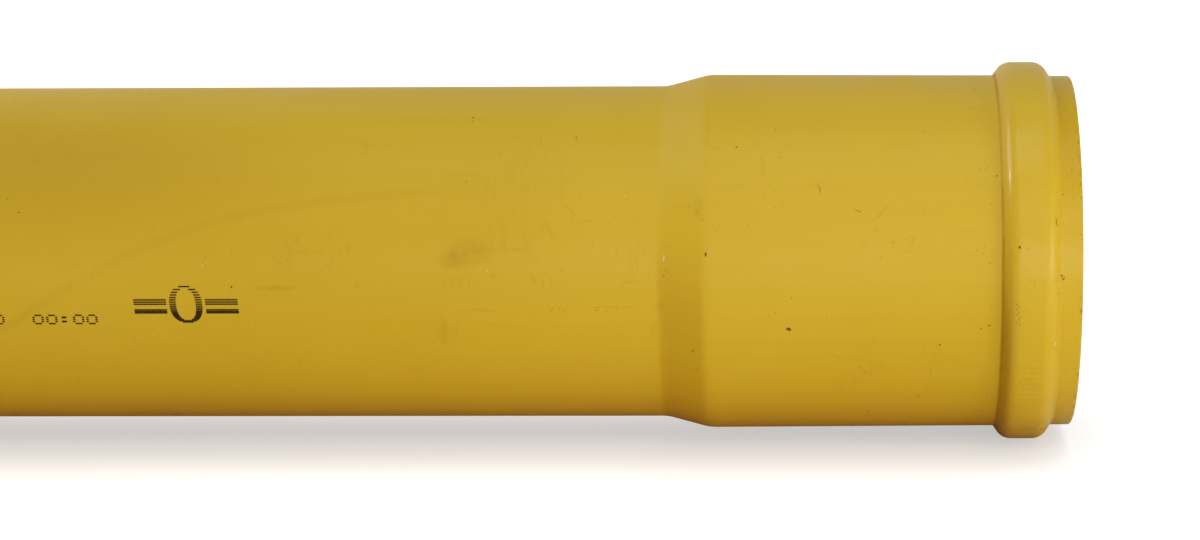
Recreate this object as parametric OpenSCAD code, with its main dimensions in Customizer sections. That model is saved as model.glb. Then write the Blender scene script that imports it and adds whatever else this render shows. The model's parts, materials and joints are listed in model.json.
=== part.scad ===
// Plastic drainage pipe with a widened push-fit socket at one end, and the rubber ring that seals it.
// Millimetres, +Z up. +X runs along the axis and out of the socket's mouth.
// The origin is on the axis at the inner end of the socket's bore, where a fitted pipe ends.

/* [Barrel] */
// Outside diameter of the barrel
barrel_od = 110; // [50:0.1:250]
// Thickness of the barrel's wall
barrel_wall = 3.2; // [2.4:0.1:5]
// Length from the spigot's tip to the inner end of the socket's bore
laying_length = 1000; // [150:10:5000]
// Thickness left at the spigot's tip by the bevel round it
tip_wall = 1.6; // [1:0.1:2]
// Angle of the bevel to the axis
bevel_angle = 15; // [10:1:30]

/* [Socket] */
// Gap all round a fitted pipe, from its outside to the bore
fit_gap = 0.4; // [0.2:0.05:0.8]
// Depth from the mouth to the inner end of the bore
socket_depth = 117; // [60:0.1:200]
// Thickness of the wall where the cone ends
wall_at_cone = 3.35; // [2.4:0.05:5]
// Thickness of the wall where the bead begins, drawn thinner by the forming
wall_at_bead = 2.85; // [2.6:0.05:4]
// Slope of the cone to the axis
cone_angle = 15; // [12:1:25]
// Radius that blends the cone into the straight walls
cone_blend = 15; // [4:1:24]

/* [Bead and groove] */
// Height of the bead's crest over the wall it rises from
bead_height = 4.35; // [3.6:0.05:7]
// Width of the flat crest, between its rounded shoulders
crest_width = 7; // [4:0.1:12]
// Radius of the bead's shoulders
shoulder_radius = 5.2; // [4:0.1:6]
// Slope of the bead's flanks to the axis
flank_angle = 57; // [50:1:62]
// Radius in the creases at the bead's feet
foot_radius = 1.2; // [0.4:0.1:1.6]
// Thickness of the wall round the groove
bead_wall = 3; // [2.6:0.1:3.3]
// Radius on the groove's edges, inside the bore
groove_edge = 1; // [0.3:0.1:1.4]

/* [Lip] */
// Length of the lip, from the bead's foot to the mouth
lip_length = 6.9; // [4:0.1:20]
// Thickness of the lip's wall
lip_wall = 2.6; // [2.2:0.05:3.4]
// Rounding of the mouth's outer edge
mouth_round_out = 1; // [0.2:0.1:1.2]
// Rounding of the mouth's inner edge
mouth_round_in = 0.7; // [0.2:0.1:0.9]

/* [Seal ring] */
// Gap between the ring and the groove
seat_gap = 0.25; // [0.1:0.05:0.4]
// Distance that the ring's base stays behind the bore
base_setback = 0.6; // [0.4:0.05:1]
// Gap between the pressed-back sealing lip and a fitted pipe
seal_gap = 0.2; // [0.15:0.05:0.3]
// Thickness of the sealing lip
seal_lip = 1.2; // [0.9:0.1:1.4]
// Height of the slot behind the sealing lip
seal_slot = 0.8; // [0.7:0.1:1]
// Place of the sealing lip's free edge, as a share of the ring's half width
seal_reach = 0.57; // [0.4:0.01:0.62]
// Place of the slot's closed end, on the mouth's side of the middle
seal_root = 0.4; // [0.2:0.01:0.5]
// Place where the sealing lip leaves the ring's base, on the same side
seal_start = 0.6; // [0.55:0.01:0.7]
// Place where the slot opens out of the base, on the barrel's side
seal_heel = 0.78; // [0.7:0.01:0.85]
// Rounding of the ring's edges
ring_round = 0.4; // [0.2:0.05:0.4]
// Rounding of the corners at the slot's closed end
slot_round = 0.25; // [0.1:0.05:0.3]

/* [Hidden] */
$fn = 180;

barrel_r = barrel_od / 2;
barrel_bore = barrel_r - barrel_wall;
bore_r = barrel_r + fit_gap;

// The cone's inner corners, then its outer ones, set back by the wall it turns through
cone_end_in = -cone_blend * tan(cone_angle / 2);
cone_start_in = cone_end_in - (bore_r - barrel_bore) / tan(cone_angle);
cone_end_out = cone_end_in - wall_at_cone * tan(cone_angle / 2);
cone_start_out = cone_end_out - (bore_r + wall_at_cone - barrel_r) / tan(cone_angle);

foot_r = bore_r + wall_at_bead;
bead_r = foot_r + bead_height;
lip_r = bore_r + lip_wall;
crest_half = crest_width / 2 + shoulder_radius * tan(flank_angle / 2);
foot_half_in = crest_half + (bead_r - foot_r) / tan(flank_angle);
foot_half_out = crest_half + (bead_r - lip_r) / tan(flank_angle);
bead_x = socket_depth - lip_length - foot_half_out;

groove_r = bead_r - bead_wall;
groove_half = crest_half - bead_wall * tan(flank_angle / 2);
groove_mouth = groove_half + (groove_r - bore_r) / tan(flank_angle);
groove_radius = shoulder_radius - bead_wall;

tip_x = -laying_length;
tip_r = barrel_bore + tip_wall;
bevel_x = tip_x + (barrel_r - tip_r) / tan(bevel_angle);

// An outline is a list of corners, anticlockwise, each [distance from the axis, place along it, rounding]
function unit(v) = v / norm(v);
function at(path, i) = let (p = path[(i + len(path)) % len(path)]) [p[0], p[1]];
function back(path, i) = unit(at(path, i - 1) - at(path, i));
function ahead(path, i) = unit(at(path, i + 1) - at(path, i));
function sticks_out(path, i) = cross(ahead(path, i), back(path, i)) > 0;
function half_turn(path, i) = 90 - acos(back(path, i) * ahead(path, i)) / 2;
function reach(path, i) = path[i][2] * tan(half_turn(path, i));
function ends(path, i) = path[i][2] > 0
    ? [at(path, i) + back(path, i) * reach(path, i), at(path, i) + ahead(path, i) * reach(path, i)]
    : [at(path, i)];

// The sliver between a rounded corner's arc and the chord across it
module sliver(path, i) {
    corner = at(path, i);
    chord = ends(path, i);
    inward = unit(back(path, i) + ahead(path, i));
    intersection() {
        translate(corner + inward * path[i][2] / cos(half_turn(path, i)))
            circle(r = path[i][2]);
        polygon([chord[0], chord[1], 2 * corner - (chord[0] + chord[1]) / 2]);
    }
}

// The outline with its corners cut along chords, then slivers added where they stick out and cut elsewhere
module outline(path) {
    difference() {
        union() {
            polygon([for (i = [0:len(path) - 1]) each ends(path, i)]);
            for (i = [0:len(path) - 1])
                if (path[i][2] > 0 && sticks_out(path, i)) sliver(path, i);
        }
        for (i = [0:len(path) - 1])
            if (path[i][2] > 0 && !sticks_out(path, i)) sliver(path, i);
    }
}

// Turn an outline about the pipe's axis, which lies along +X
module turned(path) {
    rotate([0, 90, 0])
        rotate_extrude()
            outline(path);
}

// Barrel, cone, socket, bead and lip: one extruded tube, its end heated and formed over a core
module pipe() {
    color([0.78, 0.65, 0.2])
        turned([
            // Outside, from the spigot's tip to the mouth
            [tip_r, tip_x, 0],
            [barrel_r, bevel_x, 0],
            [barrel_r, cone_start_out, cone_blend],
            [bore_r + wall_at_cone, cone_end_out, cone_blend],
            [foot_r, bead_x - foot_half_in, foot_radius],
            [bead_r, bead_x - crest_half, shoulder_radius],
            [bead_r, bead_x + crest_half, shoulder_radius],
            [lip_r, bead_x + foot_half_out, foot_radius],
            [lip_r, socket_depth, mouth_round_out],
            // Inside, back from the mouth to the tip
            [bore_r, socket_depth, mouth_round_in],
            [bore_r, bead_x + groove_mouth, groove_edge],
            [groove_r, bead_x + groove_half, groove_radius],
            [groove_r, bead_x - groove_half, groove_radius],
            [bore_r, bead_x - groove_mouth, groove_edge],
            [bore_r, cone_end_in, cone_blend],
            [barrel_bore, cone_start_in, cone_blend],
            [barrel_bore, tip_x, 0]
        ]);
}

// Rubber ring in the groove: a body against the roof and flanks, and a lip pressed back by a pipe
module seal_ring() {
    top_r = groove_r - seat_gap;
    top_half = groove_half - seat_gap * tan(flank_angle / 2);
    top_radius = groove_radius - seat_gap;
    base_r = bore_r + base_setback;
    base_half = top_half + (top_r - base_r) / tan(flank_angle);
    lip_edge = -seal_reach * base_half;
    slot_end = seal_root * base_half;
    lip_start = seal_start * base_half;
    heel = -seal_heel * base_half;
    seal_r = barrel_r + seal_gap;
    slot_in = seal_r + seal_lip;
    slot_out = slot_in + seal_slot;
    color([0.06, 0.06, 0.06])
        translate([bead_x, 0, 0])
            turned([
                [base_r, -base_half, ring_round],
                [top_r, -top_half, top_radius],
                [top_r, top_half, top_radius],
                [base_r, base_half, ring_round],
                [seal_r, lip_start, ring_round],
                [seal_r, lip_edge, ring_round],
                [slot_in, lip_edge, ring_round],
                [slot_in, slot_end, slot_round],
                [slot_out, slot_end, slot_round],
                [slot_out, lip_edge, ring_round],
                [base_r, heel, ring_round]
            ]);
}

pipe();
seal_ring();
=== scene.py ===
import json
import math
import random

import bpy
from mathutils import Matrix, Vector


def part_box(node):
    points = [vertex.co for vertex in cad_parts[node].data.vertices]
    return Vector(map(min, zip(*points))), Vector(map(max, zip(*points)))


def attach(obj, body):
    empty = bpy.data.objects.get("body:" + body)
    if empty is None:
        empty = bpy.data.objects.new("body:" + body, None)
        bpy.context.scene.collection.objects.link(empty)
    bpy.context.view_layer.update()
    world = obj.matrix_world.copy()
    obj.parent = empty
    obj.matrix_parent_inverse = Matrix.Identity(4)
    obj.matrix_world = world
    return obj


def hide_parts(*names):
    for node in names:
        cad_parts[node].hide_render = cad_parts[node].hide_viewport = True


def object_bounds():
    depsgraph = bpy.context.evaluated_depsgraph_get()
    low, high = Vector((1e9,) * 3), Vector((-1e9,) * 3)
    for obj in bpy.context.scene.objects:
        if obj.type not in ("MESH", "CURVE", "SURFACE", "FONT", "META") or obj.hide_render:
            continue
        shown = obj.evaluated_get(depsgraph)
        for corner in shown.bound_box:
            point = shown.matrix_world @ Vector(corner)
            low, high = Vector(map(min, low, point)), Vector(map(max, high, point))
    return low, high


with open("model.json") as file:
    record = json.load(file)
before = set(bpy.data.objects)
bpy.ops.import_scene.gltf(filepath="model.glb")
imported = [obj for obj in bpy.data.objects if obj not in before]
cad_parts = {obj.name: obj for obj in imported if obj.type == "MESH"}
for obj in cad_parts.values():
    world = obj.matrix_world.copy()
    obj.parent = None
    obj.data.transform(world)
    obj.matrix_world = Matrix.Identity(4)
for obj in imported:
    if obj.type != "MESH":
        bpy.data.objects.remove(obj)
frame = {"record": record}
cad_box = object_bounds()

# Camera: it stands about a metre in front of the socket and a little above it, looking slightly
# down at the lying pipe, so that the barrel runs out of the left side of the view.
lens = bpy.data.cameras.new("camera")
lens.lens = 93.0
lens.sensor_width = 36.0
lens.shift_x = -0.1167
lens.clip_end = 50.0
camera = bpy.data.objects.new("camera", lens)
camera.location = (0.0302, -1.0139, 0.2089)
camera.rotation_euler = [math.radians(turn) for turn in (78.005, 0.378, 1.203)]
bpy.context.scene.collection.objects.link(camera)
bpy.context.scene.camera = camera
bpy.context.scene.view_settings.view_transform = "Standard"


# Floor and lamps: a plain pale floor that the pipe lies on, in a pale room. Soft boxes stand in
# front, over the camera, on the right, low on the right, high on the left, overhead and behind,
# with one small window high on the left.
def input_of(made, name):
    """A node's input by its name, with _ for a space, or by its number, written i0, i1 or so."""
    number = name[1:]
    by_number = name[0] == "i" and number.isdigit()
    return made.inputs[int(number) if by_number else name.replace("_", " ")]


def feed(tree, made, **values):
    """Set a node's inputs to plain values, or wire them from a node or a (node, output)."""
    for name, value in values.items():
        if isinstance(value, bpy.types.Node):
            value = (value, 0)
        if isinstance(value, tuple) and isinstance(value[0], bpy.types.Node):
            source, output = value
            tree.links.new(source.outputs[output], input_of(made, name))
        else:
            input_of(made, name).default_value = value


def node(tree, kind, settings=None, **values):
    """A new node with these settings and inputs."""
    made = tree.nodes.new(kind)
    for name, value in (settings or {}).items():
        setattr(made, name, value)
    feed(tree, made, **values)
    return made


def maths(tree, operation, first, second=0.0, third=0.0):
    """A Math node over one, two or three values."""
    return node(tree, "ShaderNodeMath", {"operation": operation}, i0=first, i1=second, i2=third)


def scaled(tree, value, low, high, to_low, to_high, smooth=True):
    """A value brought from the range low to high into another range, and held inside it."""
    kind = "SMOOTHSTEP" if smooth else "LINEAR"
    return node(tree, "ShaderNodeMapRange", {"interpolation_type": kind}, i0=value, i1=low, i2=high,
                i3=to_low, i4=to_high)


def blend_colour(tree, share, first, second):
    """Two colours mixed by a share."""
    return (node(tree, "ShaderNodeMix", {"data_type": "RGBA"}, i0=share, i6=first, i7=second), 2)


def rays_that_show(tree):
    """Two masks: the camera's own rays, and those with the rays off gloss and through glass."""
    path = node(tree, "ShaderNodeLightPath")
    shown = maths(tree, "MAXIMUM", (path, "Is Camera Ray"), (path, "Is Glossy Ray"))
    return (path, "Is Camera Ray"), maths(tree, "MAXIMUM", shown, (path, "Is Transmission Ray"))


floor_top, floor_reach = cad_box[0][2], 9.0
floor_mesh = bpy.data.meshes.new("floor")
floor_mesh.from_pydata([(x * floor_reach, y * floor_reach, floor_top)
                        for x, y in ((-1, -1), (1, -1), (1, 1), (-1, 1))], [], [(0, 1, 2, 3)])
floor = bpy.data.objects.new("floor", floor_mesh)
bpy.context.scene.collection.objects.link(floor)
pale = bpy.data.materials.new("pale_floor")
pale.use_nodes = True
tree = pale.node_tree
tree.nodes.clear()
direct, shown = rays_that_show(tree)
# Painted bounce light: the floor's colour for light bouncing onto the pipe is pale in the open, and
# warm under the pipe.
openness = (node(tree, "ShaderNodeAmbientOcclusion", {"samples": 8}, Distance=0.16), "AO")
painted_bounce_tone = blend_colour(tree, scaled(tree, openness, 0.15, 0.85, 0, 1),
                    (1.0, 0.6, 0.03, 1), (0.97, 0.88, 0.5, 1))
paint = node(tree, "ShaderNodeBsdfDiffuse",
             Color=blend_colour(tree, shown, painted_bounce_tone, (0.52, 0.515, 0.51, 1)))
# The glow carries a painted shadow of the pipe: it fades where the pipe closes off the room above the
# floor, and more steeply where gloss mirrors the floor.
seen = maths(tree, "MULTIPLY_ADD", openness, 0.47, 0.48)
mirrored = maths(tree, "MULTIPLY", maths(tree, "POWER", openness, 2.5), 0.76)
level = scaled(tree, direct, 0, 1, mirrored, seen, smooth=False)
glow = node(tree, "ShaderNodeEmission", Color=(1, 1, 1, 1),
            Strength=maths(tree, "MULTIPLY", shown, level))
both = node(tree, "ShaderNodeAddShader", i0=paint, i1=glow)
node(tree, "ShaderNodeOutputMaterial", Surface=both)
floor_mesh.materials.append(pale)

room = bpy.data.worlds.new("room")
room.use_nodes = True
bpy.context.scene.world = room
tree = room.node_tree
tree.nodes.clear()
# The room lights the pipe faintly, is pale where gloss mirrors it, and is white to the camera.
direct, shown = rays_that_show(tree)
level = maths(tree, "MAXIMUM", scaled(tree, shown, 0, 1, 0.07, 0.6, smooth=False), direct)
air = node(tree, "ShaderNodeBackground", Color=(1, 1, 1, 1), Strength=level)
node(tree, "ShaderNodeOutputWorld", Surface=air)


def soft_box(name, place, size, power):
    """A rectangular lamp at place, turned to face the middle of the pipe's socket."""
    lamp = bpy.data.lights.new(name, "AREA")
    lamp.shape = "RECTANGLE"
    lamp.size, lamp.size_y = size
    lamp.energy = power
    holder = bpy.data.objects.new(name, lamp)
    holder.location = place
    holder.visible_camera = False
    x, y, z = place
    holder.rotation_euler = (math.atan2(math.hypot(x, y), z), 0, math.atan2(-y, -x) - math.pi / 2)
    bpy.context.scene.collection.objects.link(holder)
    return holder


soft_box("soft_box_front", (0.31, -1.77, 0.16), (1.2, 0.6), 10.6)
soft_box("soft_box_over_camera", (0.2, -1.4, 1.0), (1.2, 0.6), 3.5)
soft_box("soft_box_right", (1.54, -0.89, 0.25), (0.3, 0.6), 5.8)
soft_box("soft_box_low_right", (0.7, -0.45, -0.04), (0.6, 0.2), 2.5)
soft_box("soft_box_left", (-1.45, 0.26, 1.03), (1.1, 0.8), 12.6)
soft_box("small_window_left", (-1.5, 0.06, 0.82), (0.14, 0.14), 3.0)
soft_box("soft_box_overhead", (0.1, -0.5, 1.65), (1.2, 0.9), 8)
behind = soft_box("soft_box_behind", (-0.1, 1.3, 1.3), (2.4, 1.2), 7.8)
# Its mirror image would lie as a pale veil along the pipe's upper edge.
behind.visible_glossy = False

# The pipe: one length of PVC-U tube, extruded and sawn to length. Its end was heated and pushed
# over a core, which formed the cone, the wider socket and the bead. Its plain tip was bevelled.
fits = {mount["name"]: mount["dims"]["r_mm"] / 1000 for mount in frame["record"]["mounts"]}
low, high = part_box("pipe")
tip, mouth = low[0], high[0]
barrel, bore = fits["spigot"], fits["socket"]
wall, wall_at_cone, wall_at_bead, wall_at_lip = 0.0032, 0.00335, 0.00285, 0.0026
tip_wall, bead_wall = 0.0016, 0.003
bead_height, crest_flat, lip_length = 0.00435, 0.007, 0.0069
cone_blend, foot_round, shoulder, groove_edge = 0.015, 0.0012, 0.0052, 0.001
mouth_round_out, mouth_round_in = 0.001, 0.0007
bevel_slope = math.tan(math.radians(15))
cone_slope, half_cone = math.tan(math.radians(15)), math.tan(math.radians(7.5))
flank_slope, half_flank = math.tan(math.radians(57)), math.tan(math.radians(28.5))

cone_in = -cone_blend * half_cone
cone_out = cone_in - wall_at_cone * half_cone
foot, lip = bore + wall_at_bead, bore + wall_at_lip
crest, crest_half = foot + bead_height, crest_flat / 2 + shoulder * half_flank
bead = mouth - lip_length - crest_half - (crest - lip) / flank_slope
left_foot = bead - crest_half - (crest - foot) / flank_slope
right_foot = bead + crest_half + (crest - lip) / flank_slope
roof, roof_half = crest - bead_wall, crest_half - bead_wall * half_flank
roof_round = shoulder - bead_wall
gape = roof_half + (roof - bore) / flank_slope
# Each corner is its distance from the axis, its place along it, and its rounding.
pipe_corners = [
    (barrel - wall + tip_wall, tip, 0),
    (barrel, tip + (wall - tip_wall) / bevel_slope, 0),
    (barrel, cone_out - (bore + wall_at_cone - barrel) / cone_slope, cone_blend),
    (bore + wall_at_cone, cone_out, cone_blend),
    (foot, left_foot, foot_round),
    (crest, bead - crest_half, shoulder),
    (crest, bead + crest_half, shoulder),
    (lip, right_foot, foot_round),
    (lip, mouth, mouth_round_out),
    (bore, mouth, mouth_round_in),
    (bore, bead + gape, groove_edge),
    (roof, bead + roof_half, roof_round),
    (roof, bead - roof_half, roof_round),
    (bore, bead - gape, groove_edge),
    (bore, cone_in, cone_blend),
    (barrel - wall, cone_in - (bore - barrel + wall) / cone_slope, cone_blend),
    (barrel - wall, tip, 0),
]


def tree_with(name, kind, inputs, outputs=()):
    """A node tree with its named inputs and outputs, and the nodes that stand for them."""
    made = bpy.data.node_groups.new(name, kind)
    for title, socket, value in inputs:
        put = made.interface.new_socket(title, in_out="INPUT", socket_type=socket)
        if value is not None:
            put.default_value = value
    for title, socket in outputs:
        made.interface.new_socket(title, in_out="OUTPUT", socket_type=socket)
    return made, made.nodes.new("NodeGroupInput"), made.nodes.new("NodeGroupOutput")


turned, given, result = tree_with("turned_from_outline", "GeometryNodeTree", [
    ("Outline", "NodeSocketGeometry", None),
    ("Middle radius", "NodeSocketFloat", barrel),
    ("Steps round", "NodeSocketInt", 224),
    ("Steps in a rounding", "NodeSocketInt", 8),
    ("Material", "NodeSocketMaterial", None),
], [("Piece", "NodeSocketGeometry")])
outline = node(turned, "GeometryNodeMeshToCurve", Mesh=(given, "Outline"))
rounding = node(turned, "GeometryNodeInputNamedAttribute", {"data_type": "FLOAT"}, Name="rounding")
outline = node(turned, "GeometryNodeFilletCurve", {"mode": "POLY"}, Curve=outline, Radius=rounding,
               Count=(given, "Steps in a rounding"))
inward = node(turned, "ShaderNodeCombineXYZ",
              X=maths(turned, "MULTIPLY", (given, "Middle radius"), -1.0))
outline = node(turned, "GeometryNodeSetPosition", Geometry=outline, Offset=inward)
circle = node(turned, "GeometryNodeCurvePrimitiveCircle", {"mode": "RADIUS"},
              Resolution=(given, "Steps round"), Radius=(given, "Middle radius"))
shell = node(turned, "GeometryNodeCurveToMesh", i0=circle, i1=outline)
shell = node(turned, "GeometryNodeTransform", Geometry=shell, Rotation=(0, math.radians(-90), 0))
# Edges that fold by more than 0.4 radians stay sharp.
fold = node(turned, "GeometryNodeInputMeshEdgeAngle")
fold = node(turned, "FunctionNodeCompare", {"operation": "GREATER_THAN"}, i0=fold, i1=0.4)
shell = node(turned, "GeometryNodeStoreNamedAttribute", {"data_type": "BOOLEAN", "domain": "EDGE"},
             Geometry=shell, Name="sharp_edge", Value=fold)
shell = node(turned, "GeometryNodeRealizeInstances", Geometry=shell)
shell = node(turned, "GeometryNodeSetMaterial", Geometry=shell, Material=(given, "Material"))
feed(turned, result, Piece=shell)


def made_by(tree, name, start, **values):
    """Run a geometry tree over a starting mesh with these inputs, and keep the mesh it makes."""
    holder = bpy.data.objects.new(name + "_start", start)
    bpy.context.scene.collection.objects.link(holder)
    modifier = holder.modifiers.new("nodes", "NODES")
    modifier.node_group = tree
    for item in tree.interface.items_tree:
        title = item.name.replace(" ", "_")
        if item.in_out == "INPUT" and title in values:
            modifier[item.identifier] = values[title]
    ready = holder.evaluated_get(bpy.context.evaluated_depsgraph_get())
    mesh = bpy.data.meshes.new_from_object(ready)
    mesh.name = name
    bpy.data.objects.remove(holder)
    piece = bpy.data.objects.new(name, mesh)
    bpy.context.scene.collection.objects.link(piece)
    return piece


def outline_of(name, corners):
    """A closed outline of corners, with each one's rounding as an attribute."""
    mesh = bpy.data.meshes.new(name)
    count = len(corners)
    mesh.from_pydata([(r, x, 0) for r, x, _ in corners],
                     [(index, (index + 1) % count) for index in range(count)], [])
    roundings = mesh.attributes.new("rounding", "FLOAT", "POINT")
    roundings.data.foreach_set("value", [rounding for _, _, rounding in corners])
    return mesh


# Places on the skin in millimetres: along the axis, and round the pipe from its front.
unrolled, given, result = tree_with("unrolled", "ShaderNodeTree", [], [
    ("Along", "NodeSocketFloat"), ("Round", "NodeSocketFloat"), ("Place", "NodeSocketVector")])
place = (node(unrolled, "ShaderNodeTexCoord"), "Object")
parts = node(unrolled, "ShaderNodeSeparateXYZ", Vector=place)
turn = maths(unrolled, "ARCTAN2", (parts, "Z"), maths(unrolled, "MULTIPLY", (parts, "Y"), -1.0))
feed(unrolled, result, Along=maths(unrolled, "MULTIPLY", (parts, "X"), 1000.0),
     Round=maths(unrolled, "MULTIPLY", turn, barrel * 1000), Place=place)

# A soft oval mark: full inside its core, fading to nothing at its half length and half width.
soft_mark, given, result = tree_with("soft_mark", "ShaderNodeTree", [
    ("Along", "NodeSocketFloat", 0.0), ("Round", "NodeSocketFloat", 0.0),
    ("Middle along", "NodeSocketFloat", 0.0), ("Middle round", "NodeSocketFloat", 0.0),
    ("Half length", "NodeSocketFloat", 1.0), ("Half width", "NodeSocketFloat", 1.0),
    ("Slant", "NodeSocketFloat", 0.0), ("Core", "NodeSocketFloat", 0.0),
    ("Strength", "NodeSocketFloat", 0.1),
], [("Mask", "NodeSocketFloat")])
ahead = maths(soft_mark, "SUBTRACT", (given, "Along"), (given, "Middle along"))
drift = maths(soft_mark, "MULTIPLY", ahead, (given, "Slant"))
across = maths(soft_mark, "SUBTRACT", (given, "Round"), (given, "Middle round"))
across = maths(soft_mark, "SUBTRACT", across, drift)
far = node(soft_mark, "ShaderNodeCombineXYZ",
           X=maths(soft_mark, "DIVIDE", ahead, (given, "Half length")),
           Y=maths(soft_mark, "DIVIDE", across, (given, "Half width")))
far = node(soft_mark, "ShaderNodeVectorMath", {"operation": "LENGTH"}, i0=far)
mask = scaled(soft_mark, (far, "Value"), (given, "Core"), 1, 1, 0)
feed(soft_mark, result, Mask=maths(soft_mark, "MULTIPLY", mask, (given, "Strength")))


def new_finish(name):
    """A new material, its tree, its shader, and its node for places on the skin."""
    made = bpy.data.materials.new(name)
    made.use_nodes = True
    tree = made.node_tree
    spot = node(tree, "ShaderNodeGroup", {"node_tree": unrolled})
    return made, tree, tree.nodes["Principled BSDF"], spot


def noise(tree, place, scale, detail=3.0, stretch=(1, 1, 1), roughness=0.5):
    """Even noise on the object's own coordinates, stretched along its axes."""
    spread = node(tree, "ShaderNodeMapping", Vector=place, Scale=stretch)
    return node(tree, "ShaderNodeTexNoise", Vector=spread, Scale=scale, Detail=detail,
                Roughness=roughness)


def away_from(tree, value, middle):
    """How far a value is from a middle, on either side."""
    return maths(tree, "ABSOLUTE", maths(tree, "SUBTRACT", value, middle))


def bumped(tree, height):
    """The normal of a surface raised by a height in metres."""
    return node(tree, "ShaderNodeBump", Strength=1.0, Distance=1.0, Height=height)


pvc, tree, skin, spot = new_finish("ochre_pvc")
along, around, place = (spot, "Along"), (spot, "Round"), (spot, "Place")


def mark(middle_along, middle_round, half_length, half_width, strength, core=0.0, slant=0.0):
    """A soft mark on the pipe's skin."""
    return node(pvc.node_tree, "ShaderNodeGroup", {"node_tree": soft_mark}, Along=along,
                Round=around, Middle_along=middle_along, Middle_round=middle_round,
                Half_length=half_length, Half_width=half_width, Slant=slant, Core=core,
                Strength=strength)


# In this finish, places along and round are in millimetres, and a noise's scale is per metre.
# The tube's own colour: ochre with broad slow clouds and faint lines drawn out by the die.
clouds = noise(tree, place, 9, 4)
colour = blend_colour(tree, scaled(tree, clouds, 0.35, 0.65, 0, 1),
                      (0.555, 0.364, 0.021, 1), (0.58, 0.387, 0.027, 1))
drawn = noise(tree, place, 60, 3, (0.06, 4, 4))
colour = blend_colour(tree, scaled(tree, drawn, 0.35, 0.7, 0, 0.07), colour, (0.5, 0.3, 0.006, 1))

# Handling marks: a rubbed smudge, faint streaks and ticks, and stains on the cone. Each is its
# middle along and round, half length, half width, slant, core and strength.
patchy = scaled(tree, noise(tree, place, 420, 4), 0.3, 0.62, 0.45, 1)
grime = None
for middle_along, middle_round, half_length, half_width, slant, core, strength in (
        (-78.0, 10.8, 11.0, 6.4, 0.15, 0.4, 0.21), (-82.0, 8.6, 5.4, 3.4, 0.3, 0.4, 0.18),
        (-63.0, 11.5, 11.0, 1.2, 0.0, 0.0, 0.09), (-180.0, 38.5, 3.0, 3.0, 0.0, 0.0, 0.09),
        (-218.0, 41.0, 3.0, 11.0, 0.0, 0.0, 0.07), (-203.0, 8.0, 5.0, 3.0, -0.6, 0.0, 0.06),
        (-136.0, 12.0, 6.0, 7.5, 0.3, 0.2, 0.08), (-33.0, -7.0, 21.0, 0.5, 0.0, 0.0, 0.16),
        (-17.0, -7.0, 2.2, 2.2, 0.0, 0.3, 0.2), (-19.0, -15.0, 1.8, 3.6, 0.0, 0.3, 0.12),
        (-4.5, 24.0, 3.0, 7.0, 0.0, 0.0, 0.14), (-17.0, 2.0, 1.3, 12.0, 0.0, 0.2, 0.12),
        (-80.0, 36.5, 8.0, 1.0, 0.0, 0.3, 0.12), (-75.0, -8.0, 16.0, 1.0, -0.05, 0.0, 0.07),
        (6.0, 16.0, 9.0, 2.2, 0.0, 0.3, 0.05), (81.0, 17.0, 3.0, 1.2, 0.0, 0.3, 0.12),
        (48.0, 13.0, 3.0, 2.4, 0.0, 0.0, 0.08), (16.0, 37.0, 1.4, 5.0, 0.0, 0.4, 0.08),
        (98.0, -40.0, 4.0, 6.0, 0.0, 0.0, 0.14), (-90.0, 60.0, 40.0, 2.0, 0.0, 0.0, 0.1),
        (96.6, 13.0, 1.0, 3.6, 0.0, 0.2, 0.16), (-57.0, 2.0, 1.2, 2.2, 0.0, 0.2, 0.14),
        (-36.0, -20.5, 2.4, 1.8, 0.2, 0.2, 0.1), (-86.0, -16.0, 3.6, 6.5, -0.4, 0.2, 0.08),
        (-113.0, 0.0, 1.2, 1.6, 0.0, 0.3, 0.14), (-69.5, 3.2, 1.3, 1.7, 0.0, 0.3, 0.15),
        (-111.5, 48.0, 2.6, 2.6, 0.0, 0.2, 0.09), (-36.0, 6.0, 7.0, 0.8, 0.05, 0.0, 0.09)):
    smudge = mark(middle_along, middle_round, half_length, half_width, strength, core, slant)
    grime = maths(tree, "ADD", grime, smudge) if grime else smudge
# Two rows of short ticks run below the smudge.
teeth = maths(tree, "SINE", maths(tree, "MULTIPLY", along, 2.42))
for middle_along, half_length in ((-79.5, 8.0), (-53.0, 4.5)):
    row = mark(middle_along, 1.3, half_length, 2.4, 0.13, core=0.6)
    ticks = maths(tree, "MULTIPLY", row, scaled(tree, teeth, 0.2, 1.0, 0, 1))
    grime = maths(tree, "ADD", grime, ticks)
grime = maths(tree, "MULTIPLY", grime, patchy)

# Finer wear gathers in a few places: small blots, and streaks combed round the barrel.
blots = scaled(tree, noise(tree, place, 420, 5, roughness=0.6), 0.54, 0.66, 0, 0.8)
combed = scaled(tree, noise(tree, place, 700, 3, (1, 0.14, 0.14)), 0.5, 0.66, 0, 0.7)
finer = maths(tree, "ADD", blots, combed)
for middle_along, middle_round, half_length, half_width, strength in (
        (-127.0, 11.0, 21.0, 12.0, 0.15), (-60.0, 38.0, 30.0, 26.0, 0.085),
        (-62.0, 14.0, 18.0, 13.0, 0.095), (-86.0, -15.0, 8.0, 9.0, 0.12),
        (-215.0, 45.0, 16.0, 18.0, 0.1), (-25.0, 8.0, 16.0, 12.0, 0.1),
        (60.0, -30.0, 40.0, 24.0, 0.06)):
    worn = mark(middle_along, middle_round, half_length, half_width, strength, core=0.2)
    grime = maths(tree, "MULTIPLY_ADD", worn, finer, grime)

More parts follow.
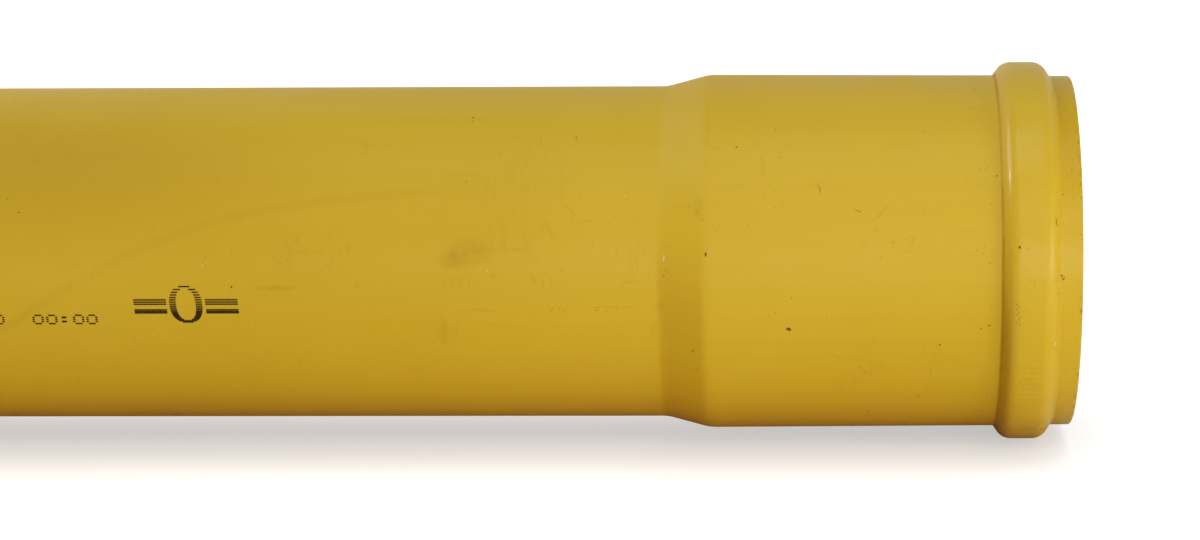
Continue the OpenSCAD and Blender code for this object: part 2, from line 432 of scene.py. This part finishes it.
# A long curved scuff follows these points, each its place along and round.
scuff_line = ((-232, -18), (-210, -3), (-193, 6.5), (-176, 14.5), (-159, 20.5), (-143, 24.5),
              (-126, 27), (-109, 29), (-60, 33))
scuff_from, scuff_to, scuff_low, scuff_rise = -232, -60, -20, 60
bend = node(tree, "ShaderNodeFloatCurve",
            Value=scaled(tree, along, scuff_from, scuff_to, 0, 1, smooth=False))
curve = bend.mapping.curves[0]
on_curve = [((x - scuff_from) / (scuff_to - scuff_from), (r - scuff_low) / scuff_rise)
            for x, r in scuff_line]
curve.points[0].location = on_curve[0]
for point in on_curve[1:-1]:
    curve.points.new(*point)
curve.points[-1].location = on_curve[-1]
bend.mapping.update()
off = away_from(tree, around, maths(tree, "MULTIPLY_ADD", bend, scuff_rise, scuff_low))
scuff = maths(tree, "MULTIPLY", scaled(tree, off, 0.9, 2.3, 0.085, 0),
              scaled(tree, along, -115, -66, 1, 0))
broken = scaled(tree, noise(tree, place, 60, 3), 0.3, 0.65, 0.65, 1)
grime = maths(tree, "ADD", grime, maths(tree, "MULTIPLY", scuff, broken))
colour = blend_colour(tree, grime, colour, (0.33, 0.182, 0.006, 1))
# A broad soft patch on the barrel's upper front, above the print, is darker and browner.
darker_upper_barrel = mark(-225.0, 40.0, 125.0, 42.0, 0.36, core=0.1)
colour = blend_colour(tree, darker_upper_barrel, colour, (0.36, 0.19, 0.002, 1))

# The cone was heated and stretched most. Its lower half is darkened with painted shade, and its top
# lightened with a painted highlight.
on_cone = maths(tree, "MULTIPLY", scaled(tree, along, -18.5, -16.0, 0, 1),
                scaled(tree, along, -5.0, -1.5, 1, 0))
painted_cone_shade = maths(tree, "MULTIPLY", scaled(tree, around, 20, -10, 0, 0.42),
              scaled(tree, around, -140, -90, 0, 1))
colour = blend_colour(tree, maths(tree, "MULTIPLY", on_cone, painted_cone_shade), colour,
                      (0.47, 0.26, 0.002, 1))
# A painted highlight: the cone's top is lightened towards a pale colour.
upper = maths(tree, "MULTIPLY", scaled(tree, around, 22, 40, 0, 0.045),
              scaled(tree, around, 52, 90, 1, 0))
colour = blend_colour(tree, maths(tree, "MULTIPLY", on_cone, upper), colour, (0.8, 0.68, 0.4, 1))
# A short reddish smear beside the print.
smear = maths(tree, "MULTIPLY", mark(-139.0, -0.5, 9.0, 1.3, 0.24, core=0.2), patchy)
colour = blend_colour(tree, smear, colour, (0.33, 0.11, 0.012, 1))

# Dirt in breaks and painted shade darken the creases at the bead's feet; the mouth's rim is faintly
# darker, with dark specks.
left_mm, right_mm = left_foot * 1000, right_foot * 1000
at_left = scaled(tree, away_from(tree, along, left_mm), 0.05, 0.75, 0.55, 0)
at_right = scaled(tree, away_from(tree, along, right_mm), 0.1, 0.9, 0.1, 0)
breaks = scaled(tree, noise(tree, place, 150, 4), 0.3, 0.6, 0.6, 1)
crease_dirt_and_shade = maths(tree, "MULTIPLY", maths(tree, "ADD", at_left, at_right), breaks)
colour = blend_colour(tree, crease_dirt_and_shade, colour, (0.27, 0.09, 0.001, 1))
# The bead's left flank gets painted shade on its lower half, and the lip is browner on its upper one.
painted_flank_shade = scaled(tree, away_from(tree, along, left_mm + 1.4), 0.6, 2.6, 0.45, 0)
painted_flank_shade = maths(tree, "MULTIPLY", painted_flank_shade, scaled(tree, around, 25, -22, 0.12, 1))
painted_flank_shade = maths(tree, "MULTIPLY", painted_flank_shade, scaled(tree, around, -90, -50, 0.12, 1))
colour = blend_colour(tree, painted_flank_shade, colour, (0.36, 0.17, 0.001, 1))
lip_tone = maths(tree, "MULTIPLY", scaled(tree, around, 22, 38, 0, 0.6),
                 scaled(tree, around, 80, 110, 1, 0))
lip_tone = maths(tree, "MULTIPLY", scaled(tree, along, 109.5, 111, 0, 1), lip_tone)
colour = blend_colour(tree, lip_tone, colour, (0.54, 0.325, 0.002, 1))
rim = maths(tree, "MULTIPLY", scaled(tree, along, 115.7, 116.5, 0, 0.7),
            scaled(tree, noise(tree, place, 300, 4), 0.6, 0.66, 0.12, 1))
colour = blend_colour(tree, rim, colour, (0.26, 0.1, 0.01, 1))

# The spigot's sawn end and turned bevel show fresh, paler material with fine rings from the tool.
bevel_end = tip * 1000 + 6.0
inside = barrel - wall
sides = node(tree, "ShaderNodeSeparateXYZ", Vector=place)
squares = maths(tree, "MULTIPLY_ADD", (sides, "Y"), (sides, "Y"),
                maths(tree, "MULTIPLY", (sides, "Z"), (sides, "Z")))
cut = maths(tree, "MULTIPLY", scaled(tree, along, bevel_end - 0.1, bevel_end + 0.1, 1, 0),
            scaled(tree, maths(tree, "SQRT", squares), inside + 0.00005, inside + 0.00015, 0, 1))
rings = maths(tree, "SINE", maths(tree, "MULTIPLY", along, 17.0))
rings = maths(tree, "MULTIPLY", rings, cut)
fresh = maths(tree, "MULTIPLY_ADD", rings, 0.06, maths(tree, "MULTIPLY", cut, 0.22))
colour = blend_colour(tree, fresh, colour, (0.68, 0.5, 0.1, 1))

# Satin skin: duller where it is dirty or cut, glossier from the bead to the mouth, and most of
# all on the bead's left shoulder.
dull = scaled(tree, noise(tree, place, 35, 5), 0.3, 0.7, 0.38, 0.48)
grime_and_crease = maths(tree, "MULTIPLY", maths(tree, "ADD", grime, crease_dirt_and_shade), 0.3)
dull = maths(tree, "MULTIPLY_ADD", cut, 0.15, maths(tree, "ADD", dull, grime_and_crease))
dull = maths(tree, "SUBTRACT", dull, scaled(tree, along, left_mm - 1.0, left_mm + 2.0, 0, 0.13))
dull = maths(tree, "SUBTRACT", dull, mark(left_mm + 3.8, 34.0, 3.6, 26.0, 0.13, core=0.5))

# Relief: shallow ripples that forming left on the bead, a fine grain, the die's lines, small
# nicks, and the rings of the cut.
rippled = mark(bead * 1000, -31.0, 12.0, 16.0, 1.0)
ripples = maths(tree, "SINE", maths(tree, "MULTIPLY", around, 2.9))
ripples = maths(tree, "MULTIPLY", ripples, rippled)
grain = maths(tree, "MULTIPLY", noise(tree, place, 2400, 3), 0.000008)
height = maths(tree, "MULTIPLY_ADD", ripples, 0.00005, grain)
height = maths(tree, "ADD", height, maths(tree, "MULTIPLY", drawn, 0.000006))
cells = (node(tree, "ShaderNodeTexVoronoi", Vector=place, Scale=230.0), "Distance")
nicks = maths(tree, "MULTIPLY", scaled(tree, cells, 0.02, 0.14, -0.00016, 0),
              scaled(tree, noise(tree, place, 25, 2), 0.42, 0.55, 0, 1))
height = maths(tree, "ADD", height, nicks)
height = maths(tree, "MULTIPLY_ADD", rings, 0.000005, height)
feed(tree, skin, Base_Color=colour, Roughness=dull, Normal=bumped(tree, height), IOR=1.5,
     Specular_IOR_Level=0.15)

pipe = made_by(turned, "pipe_and_socket", outline_of("pipe_outline", pipe_corners),
               Middle_radius=barrel, Material=pvc)
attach(pipe, "root")
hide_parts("pipe")

# The seal ring: moulded EPDM rubber, pressed into the groove behind the bead. It seats on the roof
# and flanks, and its lip points back into the socket, where a fitted pipe presses it flat.
setback, seat, seal_gap, seal_lip, slot_height = 0.0006, 0.00025, 0.0002, 0.0012, 0.0008
ring_round, slot_round, ring_middle = 0.0004, 0.00025, 0.0575
top, top_half, top_round = roof - seat, roof_half - seat * half_flank, roof_round - seat
base = bore + setback
base_half = top_half + (top - base) / flank_slope
seal = barrel + seal_gap
slot_in = seal + seal_lip
slot_out = slot_in + slot_height
edge, slot_end, start, heel = (bead + share * base_half for share in (-0.57, 0.4, 0.6, -0.78))
ring_corners = [
    (base, bead - base_half, ring_round),
    (top, bead - top_half, top_round),
    (top, bead + top_half, top_round),
    (base, bead + base_half, ring_round),
    (seal, start, ring_round),
    (seal, edge, ring_round),
    (slot_in, edge, ring_round),
    (slot_in, slot_end, slot_round),
    (slot_out, slot_end, slot_round),
    (slot_out, edge, ring_round),
    (base, heel, ring_round),
]
rubber, tree, skin, spot = new_finish("black_rubber")
bloom = noise(tree, (spot, "Place"), 90, 5)
colour = blend_colour(tree, scaled(tree, bloom, 0.42, 0.72, 0, 0.7),
                      (0.014, 0.014, 0.015, 1), (0.045, 0.044, 0.042, 1))
grain = maths(tree, "MULTIPLY", noise(tree, (spot, "Place"), 3500, 3), 0.00002)
feed(tree, skin, Base_Color=colour, Roughness=scaled(tree, bloom, 0.3, 0.7, 0.5, 0.75),
     Normal=bumped(tree, grain))
seal_ring = made_by(turned, "rubber_seal_ring", outline_of("ring_outline", ring_corners),
                    Middle_radius=ring_middle, Steps_in_a_rounding=6, Material=rubber)
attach(seal_ring, "root")
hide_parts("seal_ring")

# The print: dark ink jetted onto the barrel as it left the extruder. The head's twenty jets stand
# closer together towards the bottom, so upper strokes show as lines and lower ones run together.
laid, given, result = tree_with("laid_on_the_pipe", "GeometryNodeTree", [
    ("Flat shapes", "NodeSocketGeometry", None),
    ("Pipe", "NodeSocketObject", None),
    ("Middle radius", "NodeSocketFloat", barrel),
    ("Thickness", "NodeSocketFloat", 0.00002),
    ("Material", "NodeSocketMaterial", None),
], [("Piece", "NodeSocketGeometry")])
flat = node(laid, "ShaderNodeSeparateXYZ", Vector=node(laid, "GeometryNodeInputPosition"))
angle = maths(laid, "DIVIDE", (flat, "Y"), (given, "Middle radius"))
sine, cosine = maths(laid, "SINE", angle), maths(laid, "COSINE", angle)
inward = node(laid, "ShaderNodeCombineXYZ", Y=cosine, Z=maths(laid, "MULTIPLY", sine, -1.0))
# Each point is cast at the axis from 80 mm outside, and sunk 0.01 mm into the skin it meets.
above = node(laid, "ShaderNodeVectorMath", {"operation": "SCALE"}, i0=inward, Scale=-0.08)
above = node(laid, "ShaderNodeVectorMath", {"operation": "ADD"}, i0=above,
             i1=node(laid, "ShaderNodeCombineXYZ", X=(flat, "X")))
target = node(laid, "GeometryNodeObjectInfo", Object=(given, "Pipe"))
hit = node(laid, "GeometryNodeRaycast", Target_Geometry=(target, "Geometry"),
           Source_Position=above, Ray_Direction=inward, Ray_Length=0.05)
sunk = node(laid, "ShaderNodeVectorMath", {"operation": "SCALE"}, i0=inward, Scale=0.00001)
settled = node(laid, "ShaderNodeVectorMath", {"operation": "ADD"}, i0=(hit, "Hit Position"),
               i1=sunk)
cover = node(laid, "GeometryNodeSetPosition", Geometry=(given, "Flat shapes"), Position=settled)
cover = node(laid, "GeometryNodeMergeByDistance", Geometry=cover, Distance=0.000005)
# The film is the laid shapes raised by its thickness, closed underneath by the same shapes.
closed = node(laid, "GeometryNodeJoinGeometry")
feed(laid, closed, Geometry=node(laid, "GeometryNodeExtrudeMesh", Mesh=cover,
                                 Offset_Scale=(given, "Thickness"), Individual=False))
feed(laid, closed, Geometry=node(laid, "GeometryNodeFlipFaces", Mesh=cover))
cover = node(laid, "GeometryNodeMergeByDistance", Geometry=closed, Distance=0.000002)
cover = node(laid, "GeometryNodeRealizeInstances", Geometry=cover)
cover = node(laid, "GeometryNodeSetMaterial", Geometry=cover, Material=(given, "Material"))
feed(laid, result, Piece=cover)


def flat_mesh(name, shapes):
    """Shapes given in millimetres, along the pipe and round it, as one flat mesh in metres."""
    mesh = bpy.data.meshes.new(name)
    points = [(x / 1000, r / 1000, 0) for shape in shapes for x, r in shape]
    faces, first = [], 0
    for shape in shapes:
        faces.append(tuple(range(first, first + len(shape))))
        first += len(shape)
    mesh.from_pydata(points, [], faces)
    return mesh


def dash(first, last, middle, thick):
    """One jet's stroke along the pipe, with its ends a little drawn in."""
    half = thick / 2
    lower = [(first, middle - half * 0.5), (first + 0.1, middle - half),
             (last - 0.12, middle - half), (last, middle - half * 0.4)]
    upper = [(last, middle + half * 0.4), (last - 0.12, middle + half),
             (first + 0.1, middle + half), (first, middle + half * 0.5)]
    return lower + upper


# Each jet's place round the pipe: the steps down close up from the widest to the narrowest.
top_jet, widest, narrowest, closing = 0.1, 0.95, 0.45, 0.04
jets = [top_jet]
for step in range(19):
    jets.append(jets[-1] - max(narrowest, widest - closing * step))
line_thick, head_lean = 0.5, -0.06
strokes = []
# Two bars stand on each side of the large nought.
for start, end in ((-184.9, -174.4), (-162.0, -151.5)):
    for jet in (5, 6, 7, 10, 11, 12):
        lean = head_lean * jets[jet]
        strokes.append(dash(start + lean, end + lean, jets[jet], line_thick))
# The large nought is an oval ring, cut into one or two strokes by each jet.
nought_middle, half_outside, half_inside, squareness = -168.2, 5.3, 3.1, 2.4
hollow, least_gap = 0.86, 0.6
middle, half_height = (jets[0] + jets[-1]) / 2, (jets[0] - jets[-1]) / 2 + 0.2
for jet in jets:
    up = abs(jet - middle) / half_height
    outer = half_outside * (1 - up ** squareness) ** (1 / squareness)
    inner = 0
    if up < hollow:
        inner = half_inside * (1 - (up / hollow) ** squareness) ** (1 / squareness)
    centre = nought_middle + head_lean * jet
    if inner < least_gap:
        strokes.append(dash(centre - outer, centre + outer, jet, line_thick))
    else:
        strokes.append(dash(centre - outer, centre - inner, jet, line_thick))
        strokes.append(dash(centre + inner, centre + outer, jet, line_thick))
# Small noughts are five rows of dots, and colons and full stops are square dots between them.
top_row, row_pitch, dot_pitch, dot_length = -9.4, 0.73, 0.72, 0.8
for left in (-217.4, -213.0, -204.4, -200.1, -230.0, -234.4, -243.0, -247.4, -256.0, -260.4):
    for row, dots in enumerate(((1, 3), (0, 0, 4, 4), (0, 0, 4, 4), (0, 0, 4, 4), (1, 3))):
        for first, last in zip(dots[::2], dots[1::2]):
            strokes.append(dash(left + first * dot_pitch, left + last * dot_pitch + dot_length,
                                top_row - row * row_pitch, 0.54))
for left, rows in ((-208.0, (1, 3)), (-238.0, (4,)), (-251.0, (4,))):
    for row in rows:
        strokes.append(dash(left, left + 1.6, top_row - row * row_pitch, 0.72))

ink, tree, skin, spot = new_finish("jetted_ink")
wet = noise(tree, (spot, "Place"), 900, 3)
colour = blend_colour(tree, scaled(tree, wet, 0.4, 0.7, 0, 1),
                      (0.028, 0.015, 0.003, 1), (0.055, 0.032, 0.006, 1))
feed(tree, skin, Base_Color=colour, Roughness=scaled(tree, wet, 0.3, 0.7, 0.5, 0.7),
     Specular_IOR_Level=0.06)
print_lines = made_by(laid, "printed_line", flat_mesh("print_start", strokes), Pipe=pipe,
                      Material=ink)
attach(print_lines, "root")

# Specks and fine strokes: grit and splashes stuck to the skin while it lay in the yard, dark,
# rusty and chalky. Larger ones have their own places, and small ones are strewn all round.
chance = random.Random(11)


def speck(x, r, length, width, corners=7):
    """An uneven flake round a point."""
    turn, ring = chance.uniform(0, math.pi), []
    for corner in range(corners):
        bearing = corner * 2 * math.pi / corners
        reach = chance.uniform(0.7, 1.15) / 2
        a, b = length * reach * math.cos(bearing), width * reach * math.sin(bearing)
        ring.append((x + a * math.cos(turn) - b * math.sin(turn),
                     r + a * math.sin(turn) + b * math.cos(turn)))
    return ring


def hair(points, width, blunt=0.12):
    """A fine stroke on a smooth curve through points, in four-cornered lengths, with thin ends."""
    path, ends = [], [points[0], *points, points[-1]]
    for stretch in zip(ends, ends[1:], ends[2:], ends[3:]):
        steps = max(2, round(math.dist(stretch[1], stretch[2])))
        for t in (step / steps for step in range(steps)):
            path.append([b + 0.5 * t * (c - a + t * (2 * a - 5 * b + 4 * c - d
                                                     + t * (3 * b - a - 3 * c + d)))
                         for a, b, c, d in zip(*stretch)])
    path.append(points[-1])
    sides = []
    for index, (x, r) in enumerate(path):
        before, after = path[max(index - 1, 0)], path[min(index + 1, len(path) - 1)]
        swell = math.sin(math.pi * (blunt + (1 - 2 * blunt) * index / (len(path) - 1)))
        half = width / 2 * swell / math.dist(before, after)
        left, up = (before[1] - after[1]) * half, (after[0] - before[0]) * half
        sides.append(((x - left, r - up), (x + left, r + up)))
    return [[a, c, d, b] for (a, b), (c, d) in zip(sides, sides[1:])]


dark, rusty, deep_rust, chalky, faint = [], [], [], [], []
# Single specks, each its place along and round, and its length.
for x, r, size in ((-78, 61, 0.75), (-78, 59, 0.6), (-221, 24, 0.6), (-225, 28.5, 0.5),
                   (-153, 0, 0.75), (-161, 9.5, 0.5), (24, -13, 1.7), (7.5, 44, 0.7), (20, 51, 0.5),
                   (25, -3, 0.5), (20, -7.5, 0.4), (57, 13.5, 0.5), (90, 34, 0.6), (87.5, 7.5, 0.4),
                   (85, -13, 0.6), (87.5, -12, 0.7), (72, -18.5, 0.7), (47, -27, 0.5),
                   (48.5, -29, 0.4), (66, -40, 0.5), (49.5, -50, 0.6), (110.5, 28, 0.5),
                   (109, -1.5, 0.4), (-2, 10.3, 0.7), (-5.5, -28, 0.5), (-6.5, -21, 0.7)):
    dark.append(speck(x, r, size, size * 0.72))
# Clusters, each between two places along and two round, and a row down the bead's crest.
for low, high, bottom, top, count, kind in (
        (82, 89, 29, 38, 8, rusty), (80, 89, 6, 15, 9, rusty),
        (-54, -28, -8.2, -7, 7, dark), (64, 88, -52, -36, 7, dark)):
    for _ in range(count):
        kind.append(speck(chance.uniform(low, high), chance.uniform(bottom, top), 0.34, 0.25))
for step in range(9):
    dark.append(speck(96.4 + chance.uniform(-0.7, 0.7), -4.0 - 0.75 * step, 0.4, 0.3))
for x, r, size in ((-78.5, 34, 0.6), (-44, 51, 0.35), (-37, -8, 0.6), (-15, 5, 0.6),
                   (-14, 4.5, 0.5), (-15.5, 3.5, 0.6), (-7.5, 25, 0.5), (-5, 23, 0.5),
                   (-3, 20.5, 0.6), (110.5, 72, 0.5), (111.5, 67, 0.5), (113, 60.5, 0.5),
                   (112, 64, 0.4), (-120, 21, 0.4), (-64, 27, 0.4), (1, 17, 0.4), (0, 15, 0.4),
                   (2, 18.5, 0.3), (-1, 13, 0.4), (82.5, 60.5, 0.6), (86.5, 36, 0.5),
                   (84.5, 31, 0.4), (80.5, 33, 0.4), (88, 25, 0.4), (-38, 13, 0.4), (-43, 14.5, 0.35),
                   (116.3, 46, 0.7), (116.4, 27, 0.8), (116.2, 16, 0.6), (116.4, 14.5, 0.5),
                   (97, 17, 0.4), (97.5, 20, 0.35), (110.5, 2.5, 1.2)):
    rusty.append(speck(x, r, size, size * 0.7))
for x, r, size in ((-162, 7, 0.4), (-71.5, 5, 0.5), (18, 24, 0.5), (37, -8, 0.4), (39.5, -21, 0.4),
                   (108.5, -17, 0.6), (-101, -20, 0.4), (-28, 29, 0.3)):
    chalky.append(speck(x, r, size, size * 0.75))
for x, r, size in ((96.5, 12, 0.9), (110, 3.5, 0.9), (111, 3, 0.4)):
    deep_rust.append(speck(x, r, size, size * 0.7))
# Single fine strokes, each its points and its width.
for kind, points, width in (
        (rusty, [(107.8, 20.4), (108.3, 19.6), (108.1, 18.8), (108.6, 18.0)], 0.35),
        (rusty, [(-44.3, 52.4), (-44.1, 50.8), (-43.8, 49.6)], 0.2),
        (rusty, [(33, 31.5), (34, 30), (34, 28.5)], 0.27),
        (rusty, [(-6.6, -20.4), (-6.4, -21.4)], 0.25),
        (rusty, [(45, 23.3), (46, 23), (47, 22.5)], 0.26),
        (dark, [(-2.1, 10.7), (-2, 9.4)], 0.6),
        (chalky, [(-15.5, 10), (-15.3, 9), (-15.6, 7.8)], 0.22)):
    kind.extend(hair(points, width))

# Fainter strokes, where something brushed past: loops, ticks and scratches, a little darker
# than the skin.
for points, width in (
        ([(-136, 15.5), (-134.5, 10.5), (-136, 7.5), (-137, 10)], 0.5),
        ([(-140, 10.5), (-138, 8.5), (-136.8, 7)], 0.4),
        ([(-133, 12), (-130, 11), (-127.5, 9.5)], 0.4),
        ([(-134.5, 13), (-132, 14.5), (-131, 12.5)], 0.35),
        ([(-161, 44.5), (-159.5, 42), (-158, 39)], 1.0),
        ([(-158, 39), (-156, 36), (-155, 34)], 0.5),
        ([(-114, 48), (-112.5, 49), (-111, 46.5), (-112, 44.5), (-113.5, 45.5)], 0.5),
        ([(-56.5, 15.5), (-54, 18), (-52.5, 20.5), (-51.5, 17), (-49, 12)], 0.35),
        ([(-47.5, 26.5), (-45, 24), (-44, 23), (-45, 20.5)], 0.4),
        ([(-42, 19), (-40, 21), (-38, 20.5)], 0.3),
        ([(-88, -9.5), (-85.5, -13), (-87.5, -17.5), (-85, -21)], 0.4),
        ([(-77.5, -7.5), (-73, -8), (-69.5, -8.5)], 0.3),
        ([(-75.5, -11.5), (-68, -13.5), (-61.5, -15)], 0.3),
        ([(-55.5, 53), (-55.3, 50.5), (-55.2, 48)], 0.4),
        ([(50, 19.5), (53, 22), (55.5, 24.5)], 0.35),
        ([(61, 14), (62.5, 15.5), (63.5, 14), (62.5, 12.5)], 0.4),
        ([(60, 12), (61.5, 10.5), (63, 11.5)], 0.35),
        ([(-2.2, 61), (-1.8, 52), (-1.4, 45), (2.3, 43)], 0.4),
        ([(-30, 0), (-26, 1.5), (-22, 1)], 0.3),
        ([(82.5, 77), (84, 75), (85, 72), (84.5, 70)], 0.4),
        ([(-67, 21), (-66, 16), (-67.5, 12)], 0.3),
        ([(-116, 13.5), (-115.6, 11.5), (-116, 9.5)], 0.6)):
    faint.extend(hair(points, width))

# Small specks are strewn: finer ones over the front by the socket, then others over the rest.
near_from, near_round = -232, 75
for near, count, reach_x, reach_r, smallest, largest in (
        (True, 110, (near_from, 116), (-near_round, near_round), 0.14, 0.3),
        (False, 260, (-985, 112), (-172, 172), 0.2, 0.6)):
    for _ in range(count):
        x, r = chance.uniform(*reach_x), chance.uniform(*reach_r)
        if not near and x > near_from and abs(r) < near_round:
            continue
        size = chance.uniform(smallest, largest)
        kind = chance.choice((dark, dark, rusty, rusty, chalky))
        kind.append(speck(x, r, size, size * chance.uniform(0.5, 0.9), 6))

thick, thin = 0.00005, 0.00002
for name, shapes, depth, first, second in (
        ("dark_specks", dark, thick, (0.06, 0.026, 0.005, 1), (0.15, 0.07, 0.012, 1)),
        ("rusty_specks", rusty, thick, (0.28, 0.11, 0.008, 1), (0.4, 0.19, 0.012, 1)),
        ("deep_rust_specks", deep_rust, thick, (0.06, 0.016, 0.002, 1), (0.13, 0.04, 0.003, 1)),
        ("faint_strokes", faint, thin, (0.51, 0.318, 0.018, 1), (0.55, 0.35, 0.022, 1)),
        ("chalky_specks", chalky, thick, (0.7, 0.62, 0.42, 1), (0.8, 0.74, 0.6, 1))):
    crust, tree, skin, spot = new_finish(name)
    mottle = noise(tree, (spot, "Place"), 1500, 3)
    colour = blend_colour(tree, scaled(tree, mottle, 0.4, 0.6, 0, 1), first, second)
    feed(tree, skin, Base_Color=colour, Roughness=scaled(tree, mottle, 0.3, 0.7, 0.65, 0.9),
         Specular_IOR_Level=0.15)
    piece = made_by(laid, name, flat_mesh(name + "_start", shapes), Pipe=pipe, Thickness=depth,
                    Material=crust)
    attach(piece, "root")
